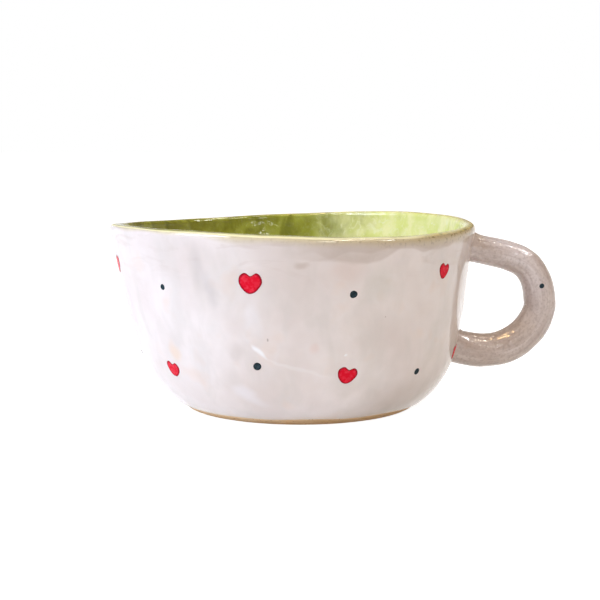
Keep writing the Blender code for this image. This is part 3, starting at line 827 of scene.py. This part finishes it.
def base_section(angle):
    """A flat foot with a softened, slightly worn edge, its side running up under the white coat."""
    line = inset(outside_line(SKIN_STEPS), BASE_SIDE_DEPTH)
    bare = [point for point in above(line, BASE_EDGE_ROUND / 2) if point.y < BASE_THICKNESS]
    side = evened(bare, EDGE_STEPS)
    flat = side[0].x - BASE_EDGE_ROUND * (1 + waves(angle, (6, 11, 17), 0.9) / 8)
    knee = Vector((side[0].x - BASE_EDGE_ROUND / 4, 0))
    edge = []
    for share in (0, 1 / 3, 2 / 3):
        edge.append(Vector((flat, 0)).lerp(knee, share).lerp(knee.lerp(side[0], share), share))
    floor = [Vector((flat * step / FLOOR_STEPS, 0)) for step in range(FLOOR_STEPS)]
    reach = side[-1].x
    top = [Vector((reach * (1 - step / EDGE_STEPS), BASE_THICKNESS)) for step in range(EDGE_STEPS + 1)]
    return [(point, 0.0) for point in floor + edge + side[:-1] + top]


def bare_base(finish):
    made = link_object("bare_clay_base", turned("bare_clay_base", base_section, closed=False))
    made.data.materials.append(finish)
    return made


# Handle


def handle_bends():
    """The control points of the coil's two curves: upper joint to apex, and apex to lower joint."""
    away = Vector((math.cos(JOINT_SLOPE), 0, -math.sin(JOINT_SLOPE)))
    top = Vector((outside_at(HANDLE_TOP, 0).x, 0, HANDLE_TOP))
    apex = Vector((HANDLE_REACH, 0, HANDLE_APEX))
    bottom = Vector((outside_at(HANDLE_BOTTOM, 0).x, 0, HANDLE_BOTTOM))
    upper = (top, top + UPPER_PULL * away, apex + Vector((0, 0, APEX_RISE_PULL)), apex)
    lower = (apex, apex - Vector((0, 0, APEX_FALL_PULL)), bottom + LOWER_PULL * away, bottom)
    return upper, lower


def coil_radius(height):
    """The finished coil's radius where its centre line is at a height."""
    share = (HANDLE_TOP - height) / (HANDLE_TOP - HANDLE_BOTTOM)
    return COIL_TOP_RADIUS + (COIL_FOOT_RADIUS - COIL_TOP_RADIUS) * min(1.0, max(0.0, share))


def handle_route():
    """A line of points along the coil, from root to root in the wall.

    Its attributes are the coil's girth there, and nearness, which is 1 at the wall and 0 away from it.
    """
    upper, lower = handle_bends()
    shares = [step / BEND_STEPS for step in range(BEND_STEPS + 1)]
    roots = [COIL_ROOT * share for share in (1, 2 / 3, 1 / 3)]
    path = [upper[0] - depth * cubic_travel(upper, 0) for depth in roots]
    path += [cubic(upper, share) for share in shares] + [cubic(lower, share) for share in shares[1:]]
    path += [lower[-1] + depth * cubic_travel(lower, 1) for depth in roots[::-1]]
    route = bpy.data.meshes.new("handle_route")
    route.from_pydata(path, [(i, i + 1) for i in range(len(path) - 1)], [])
    for attribute in ("girth", "nearness"):
        route.attributes.new(attribute, "FLOAT", "POINT")
    for i, place in enumerate(path):
        from_wall = max(0.0, place.x - outside_at(place.z, 0).x)
        skirt = JOINT_SKIRT * max(0.0, 1 - from_wall / SKIRT_LENGTH) ** 2
        route.attributes["girth"].data[i].value = coil_radius(place.z) + skirt
        route.attributes["nearness"].data[i].value = 1 - smooth(from_wall / JOINT_LENGTH)
    return route


def coil_tree():
    """A rolled clay coil along a line: as thick as the line's girth, a bit lumpy, smeared on at its ends.

    It keeps, for its finish, how far along the coil and how far round it each point is.
    """
    numbers = ("Lump Height", "Lump Spacing", "Smear Height", "Smear Spacing", "Seed")
    inputs = {"Route": "Geometry", "Sides": "Int", **dict.fromkeys(numbers, "Float"), "Finish": "Material"}
    tree, give, take = new_tree("rolled coil", inputs, {"Coil": "Geometry"})
    line = add(tree, "GeometryNodeMeshToCurve", {0: give["Route"]})
    ring = add(tree, "GeometryNodeCurvePrimitiveCircle", {"Resolution": give["Sides"], "Radius": 1.0})
    travel = add(tree, "GeometryNodeSplineParameter").outputs
    line_inputs = {"Geometry": line, "Name": "along", "Value": travel["Length"]}
    line = add(tree, "GeometryNodeStoreNamedAttribute", line_inputs, data_type="FLOAT", domain="POINT")
    ring_inputs = {"Geometry": ring, "Name": "around", "Value": travel["Factor"]}
    ring = add(tree, "GeometryNodeStoreNamedAttribute", ring_inputs, data_type="FLOAT", domain="POINT")
    girth = add(tree, "GeometryNodeInputNamedAttribute", {"Name": "girth"}, data_type="FLOAT")
    tube_inputs = {"Curve": line, "Profile Curve": ring, "Scale": girth}
    coil = add(tree, "GeometryNodeCurveToMesh", {**tube_inputs, "Fill Caps": True})
    nearness = add(tree, "GeometryNodeInputNamedAttribute", {"Name": "nearness"}, data_type="FLOAT")
    smear_height = add(tree, "Math", {0: nearness, 1: give["Smear Height"]}, operation="MULTIPLY")
    place = add(tree, "GeometryNodeInputPosition")
    outward = add(tree, "GeometryNodeInputNormal")
    lumps = (give["Lump Height"], give["Lump Spacing"])
    smears = (smear_height, give["Smear Spacing"])
    for size, spacing in (lumps, smears):
        scale = add(tree, "Math", {0: 1.0, 1: spacing}, operation="DIVIDE")
        noise_inputs = {"Vector": place, "W": give["Seed"], "Scale": scale, "Detail": 1.0}
        noise = add(tree, "TexNoise", noise_inputs, noise_dimensions="4D")
        centred = add(tree, "Math", {0: noise, 1: 0.5}, operation="SUBTRACT")
        lump = add(tree, "Math", {0: centred, 1: size}, operation="MULTIPLY")
        offset = add(tree, "VectorMath", {0: outward, "Scale": lump}, operation="SCALE")
        coil = add(tree, "GeometryNodeSetPosition", {"Geometry": coil, "Offset": offset})
    round_faces = add(tree, "GeometryNodeSetShadeSmooth", {"Geometry": coil})
    real = add(tree, "GeometryNodeRealizeInstances", {0: round_faces})
    dressed = add(tree, "GeometryNodeSetMaterial", {"Geometry": real, "Material": give["Finish"]})
    tree.links.new(dressed.outputs[0], take["Coil"])
    return tree


def coil_handle(finish):
    values = {
        "Sides": COIL_SIDES,
        "Lump Height": 0.0009,
        "Lump Spacing": 0.010,
        "Smear Height": 0.0011,
        "Smear Spacing": 0.0022,
        "Seed": 5.0,
        "Finish": finish,
    }
    return grown("glazed_coil_handle", handle_route(), coil_tree(), values)


# Painted motifs


def heart_outline(width, height):
    """(across, up) points round a plump heart with a narrow notch and a blunt tip, from the notch."""
    turns = [2 * math.pi * step / MOTIF_POINTS for step in range(MOTIF_POINTS)]
    ups = [math.cos(turn) - HEART_NOTCH * max(0.0, math.cos(turn)) ** NOTCH_SHARPNESS for turn in turns]
    overs = [math.sin(turn) * (1 + HEART_TAPER * math.cos(turn)) for turn in turns]
    middle = (max(ups) + min(ups)) / 2
    wide = width / (max(overs) - min(overs))
    tall = height / (max(ups) - min(ups))
    return [Vector((wide * over, tall * (up - middle), 0)) for over, up in zip(overs, ups)]


def dot_outline(radius):
    turns = [2 * math.pi * step / MOTIF_POINTS for step in range(MOTIF_POINTS)]
    return [radius * Vector((math.cos(turn), math.sin(turn), 0)) for turn in turns]


def motif_patch(name, outline):
    """A closed flat patch that the drape turns into a low pillow, as high as rise; rim is 1 at its edge."""
    patch = bmesh.new()
    rise = patch.verts.layers.float.new("rise")
    rim = patch.verts.layers.float.new("rim")

    def ring_of(share, height, darkness):
        made = [patch.verts.new(share * spot) for spot in (outline if share else outline[:1])]
        for vertex in made:
            vertex[rise] = height
            vertex[rim] = darkness
        return made

    edge = ring_of(*PATCH_RINGS[0])
    for below in (True, False):
        outer = edge
        for share, height, darkness in PATCH_RINGS[1:]:
            inner = ring_of(share, -PAINT_ROOT if below else height, darkness)
            for i, spot in enumerate(outer):
                after = outer[(i + 1) % len(outer)]
                inward = [inner[(i + 1) % len(inner)], inner[i % len(inner)]]
                patch.faces.new([spot, after] + (inward if share else inward[:1]))
            outer = inner
    return link_object(name, mesh_of(patch, name))


def painted_tree():
    """Lays a patch on each spot, lets its outline wander as a brush does, and drapes it on a surface."""
    inputs = {
        "Spots": "Geometry",
        "Patch": "Object",
        "Surface": "Object",
        "Reach": "Float",
        "Wander": "Float",
        "Wander Spacing": "Float",
        "Seed": "Int",
        "Finish": "Material",
    }
    tree, give, take = new_tree("painted motifs", inputs, {"Motifs": "Geometry"})
    aim = add(tree, "GeometryNodeInputNamedAttribute", {"Name": "aim"}, data_type="FLOAT_VECTOR")
    turn = add(tree, "GeometryNodeInputNamedAttribute", {"Name": "turn"}, data_type="FLOAT_VECTOR")
    rise = add(tree, "GeometryNodeInputNamedAttribute", {"Name": "rise"}, data_type="FLOAT")
    rotation = add(tree, "FunctionNodeEulerToRotation", {0: turn})
    patch = add(tree, "GeometryNodeObjectInfo", {"Object": give["Patch"]})
    size = add(tree, "GeometryNodeInputNamedAttribute", {"Name": "size"}, data_type="FLOAT")
    laid_inputs = {"Points": give["Spots"], "Instance": patch.outputs["Geometry"], "Rotation": rotation}
    laid = add(tree, "GeometryNodeInstanceOnPoints", {**laid_inputs, "Scale": size})
    real = add(tree, "GeometryNodeRealizeInstances", {0: laid})
    place = add(tree, "GeometryNodeInputPosition")
    scale = add(tree, "Math", {0: 1.0, 1: give["Wander Spacing"]}, operation="DIVIDE")
    noise_inputs = {"Vector": place, "W": give["Seed"], "Scale": scale, "Detail": 1.0}
    noise = add(tree, "TexNoise", noise_inputs, noise_dimensions="4D")
    centred = add(tree, "VectorMath", {0: noise.outputs["Color"], 1: NOISE_MIDDLE}, operation="SUBTRACT")
    stray = add(tree, "VectorMath", {0: centred, "Scale": give["Wander"]}, operation="SCALE")
    wandered = add(tree, "GeometryNodeSetPosition", {"Geometry": real, "Offset": stray})
    back = add(tree, "VectorMath", {0: aim, "Scale": give["Reach"]}, operation="SCALE")
    start = add(tree, "VectorMath", {0: place, 1: back}, operation="ADD")
    inward = add(tree, "VectorMath", {0: aim, "Scale": -1.0}, operation="SCALE")
    surface = add(tree, "GeometryNodeObjectInfo", {"Object": give["Surface"]})
    ray_inputs = {"Target Geometry": surface.outputs["Geometry"], "Source Position": start}
    ray = add(tree, "GeometryNodeRaycast", {**ray_inputs, "Ray Direction": inward, "Ray Length": PAINT_RAY})
    lift = add(tree, "VectorMath", {0: ray.outputs["Hit Normal"], "Scale": rise}, operation="SCALE")
    seat = add(tree, "VectorMath", {0: ray.outputs["Hit Position"], 1: lift}, operation="ADD")
    draped_inputs = {"Geometry": wandered, "Selection": ray.outputs["Is Hit"], "Position": seat}
    draped = add(tree, "GeometryNodeSetPosition", draped_inputs)
    dressed = add(tree, "GeometryNodeSetMaterial", {"Geometry": draped, "Material": give["Finish"]})
    tree.links.new(dressed.outputs[0], take["Motifs"])
    return tree


def spot_mesh(name, spots):
    """Points at (place, aim, tilt, size): aim points out of the surface, tilt turns the motif on it."""
    mesh = bpy.data.meshes.new(name)
    mesh.from_pydata([spot[0] for spot in spots], [], [])
    for attribute, kind in (("aim", "FLOAT_VECTOR"), ("turn", "FLOAT_VECTOR"), ("size", "FLOAT")):
        mesh.attributes.new(attribute, kind, "POINT")
    for i, (_, aim, tilt, size) in enumerate(spots):
        across = Vector((0, 0, 1)).cross(aim).normalized()
        upright = Matrix((across, aim.cross(across), aim)).transposed()
        mesh.attributes["aim"].data[i].vector = aim
        turn = upright @ Matrix.Rotation(math.radians(tilt), 3, "Z")
        mesh.attributes["turn"].data[i].vector = turn.to_euler()
        mesh.attributes["size"].data[i].value = size
    return mesh


def wall_spot(node, tilt, size):
    """The spot on the wall where the solids have a motif."""
    low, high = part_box(node)
    place = (low + high) / 2
    normal = min(outside_line(SKIN_STEPS), key=lambda pair: abs(pair[0].y - place.z))[1]
    radial = Vector((place.x - RIM_SHIFT * smooth(place.z / RIM_HEIGHT), place.y, 0)).normalized()
    return place, radial * normal.x + Vector((0, 0, normal.y)), tilt, size


def painted(name, tree, spots, outline, surface, seed, finish):
    patch = motif_patch("motif_patch", outline)
    values = {
        "Patch": patch,
        "Surface": surface,
        "Reach": PAINT_REACH,
        "Wander": 0.0006,
        "Wander Spacing": 0.0035,
        "Seed": seed,
        "Finish": finish,
    }
    made = grown(name, spot_mesh(name, spots), tree, values)
    bpy.data.objects.remove(patch)
    return made


def painted_motifs(coat, handle, red, ink):
    """Hearts and dots round the cup, and a dot on each side of the handle."""
    tree = painted_tree()
    for row, heart_size, seed in (("upper", UPPER_HEART, 1), ("lower", LOWER_HEART, 2)):
        hearts = {f"heart_{row}_{i + 1}": heart for i, heart in enumerate(HEARTS[row])}
        spots = [wall_spot(node, tilt, size) for node, (tilt, size) in hearts.items()]
        made = painted(f"{row}_hearts", tree, spots, heart_outline(*heart_size), coat, seed, red)
        finished(made, "red_underglaze", *hearts)
        dots = {f"dot_{row}_{i + 1}": size for i, size in enumerate(DOTS[row])}
        spots = [wall_spot(node, 0, size) for node, size in dots.items()]
        made = painted(f"{row}_dots", tree, spots, dot_outline(DOT_RADIUS), coat, seed + 2, ink)
        finished(made, "ink_underglaze", *dots)
    spots = []
    nodes = {"handle_dot_front": -1, "handle_dot_back": 1}
    for node, side in nodes.items():
        low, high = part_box(node)
        spots.append(((low + high) / 2, Vector((0, side, 0)), 0, 1))
    made = painted("handle_dots", tree, spots, dot_outline(HANDLE_DOT_RADIUS), handle, 5, ink)
    finished(made, "ink_underglaze", *nodes)


# Stage


def seen_directly(tree):
    """1 for rays that show a surface to the eye, also in a gloss, and 0 for those that carry its light."""
    sees = add(tree, "LightPath").outputs
    shown = add(tree, "Math", {0: sees["Is Camera Ray"], 1: sees["Is Glossy Ray"]}, operation="MAXIMUM")
    return add(tree, "Math", {0: shown, 1: sees["Is Transmission Ray"]}, operation="MAXIMUM")


def studio():
    """A white sweep up to just above the horizon, dim walls above it, lamps, and a floor with shadows."""
    world = bpy.data.worlds.new("white sweep")
    bpy.context.scene.world = world
    world.use_nodes = True
    tree = world.node_tree
    shown = seen_directly(tree)
    way = add(tree, "SeparateXYZ", {0: add(tree, "TexCoord").outputs["Generated"]}).outputs
    low = add(tree, "MapRange", {0: way["Z"], 1: SWEEP_TOP, 2: SWEEP_END, 3: 1.0, 4: 0.0})
    share = add(tree, "Math", {0: shown, 1: low}, operation="MULTIPLY")
    walls = linear(AMBIENT_COLOUR)
    colour = add(tree, "Mix", {0: share, 6: walls, 7: linear("#FFFFFF")}, data_type="RGBA")
    strength = add(tree, "MapRange", {0: share, 3: AMBIENT_STRENGTH, 4: 1.0})
    plug(tree, tree.nodes["Background"], {"Color": colour, "Strength": strength})

    kinds = ((LAMPS, True, True), (FILL_LAMPS, True, False), (GLINT_LAMPS, False, True))
    for lamps, lights, glints in kinds:
        for name, azimuth, elevation, width, height, watts, tint in lamps:
            lamp = bpy.data.lights.new(name, "AREA")
            lamp.shape = "RECTANGLE"
            lamp.size = width
            lamp.size_y = height
            lamp.energy = watts
            lamp.color = linear(tint)[:3]
            stand = link_object(name, lamp)
            swing = Matrix.Rotation(math.radians(azimuth), 3, "Z")
            turn = swing @ Matrix.Rotation(-math.radians(elevation), 3, "Y")
            away = turn @ Vector((LAMP_DISTANCE, 0, 0))
            stand.location = Vector((0, 0, AIM_HEIGHT)) + away
            stand.rotation_euler = (-away).to_track_quat("-Z", "Y").to_euler()
            stand.visible_diffuse = lights
            stand.visible_glossy = glints

    bpy.ops.mesh.primitive_plane_add(size=FLOOR_SIZE)
    floor = bpy.context.object
    floor.name = "floor"
    material = bpy.data.materials.new("white paper floor")
    material.use_nodes = True
    tree = material.node_tree
    paper = tree.nodes["Principled BSDF"]
    plug(tree, paper, {"Base Color": linear("#F0EEEC"), "Roughness": 0.9, "Specular IOR Level": 0.0})
    glow = add(tree, "Emission", {"Color": linear("#FFFFFF"), "Strength": FLOOR_GLOW_STRENGTH})
    share = add(tree, "Math", {0: seen_directly(tree), 1: FLOOR_GLOW}, operation="MULTIPLY")
    mixed = add(tree, "MixShader", {0: share, 1: paper, 2: glow})
    plug(tree, tree.nodes["Material Output"], {"Surface": mixed})
    floor.data.materials.append(material)


def camera():
    """The photo's view: its lens, height and place, with the frame shifted as the photo is cropped."""
    lens = bpy.data.cameras.new("photo view")
    lens.sensor_width = SENSOR_WIDTH
    lens.lens = FOCAL_PIXELS / IMAGE_SIZE * SENSOR_WIDTH
    lens.shift_x = 0.5 - CENTRE_PIXEL[0] / IMAGE_SIZE
    lens.shift_y = CENTRE_PIXEL[1] / IMAGE_SIZE - 0.5
    lens.clip_start = NEAR_CLIP
    eye = link_object("photo view", lens)
    turn = Matrix.Rotation(VIEW_TURN, 3, "Z")
    axis = Vector((RIM_SHIFT, 0, 0))
    eye.location = turn @ Vector((0, -EYE_DISTANCE, EYE_HEIGHT)) + axis
    look = axis + Vector((0, 0, AIM_HEIGHT)) - eye.location
    eye.rotation_euler = look.to_track_quat("-Z", "Y").to_euler()
    bpy.context.scene.camera = eye


def main():
    bpy.context.scene.view_settings.view_transform = "Standard"
    camera()
    studio()
    clay = bare_stoneware()
    white = white_glaze()
    lime = lime_glaze()
    red = brushed_colour("brushed red underglaze", "#E8122F", "#EE3A4C", "#8E0A20")
    ink = brushed_colour("dabbed slate underglaze", "#24343B", "#3C4E56", "#0D1315")
    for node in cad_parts.values():
        node.data.materials.clear()
        node.data.materials.append(clay)
    pressed = pressed_tree()
    coat = pressed_shell("white_glaze_coat", white_coat_section, True, pressed, WHITE_DENTS, white)
    handle = coil_handle(coil_glaze())
    finished(coat, "white_glaze", "outer_glaze")
    finished(handle, "white_glaze", "handle_glaze")
    lining = pressed_shell("lime_lining", lining_section, False, pressed, LIME_DENTS, lime)
    finished(lining, "lime_glaze", "lining_glaze")
    finished(bare_base(clay), "bare_stoneware", "base_slab")
    painted_motifs(coat, handle, red, ink)


main()
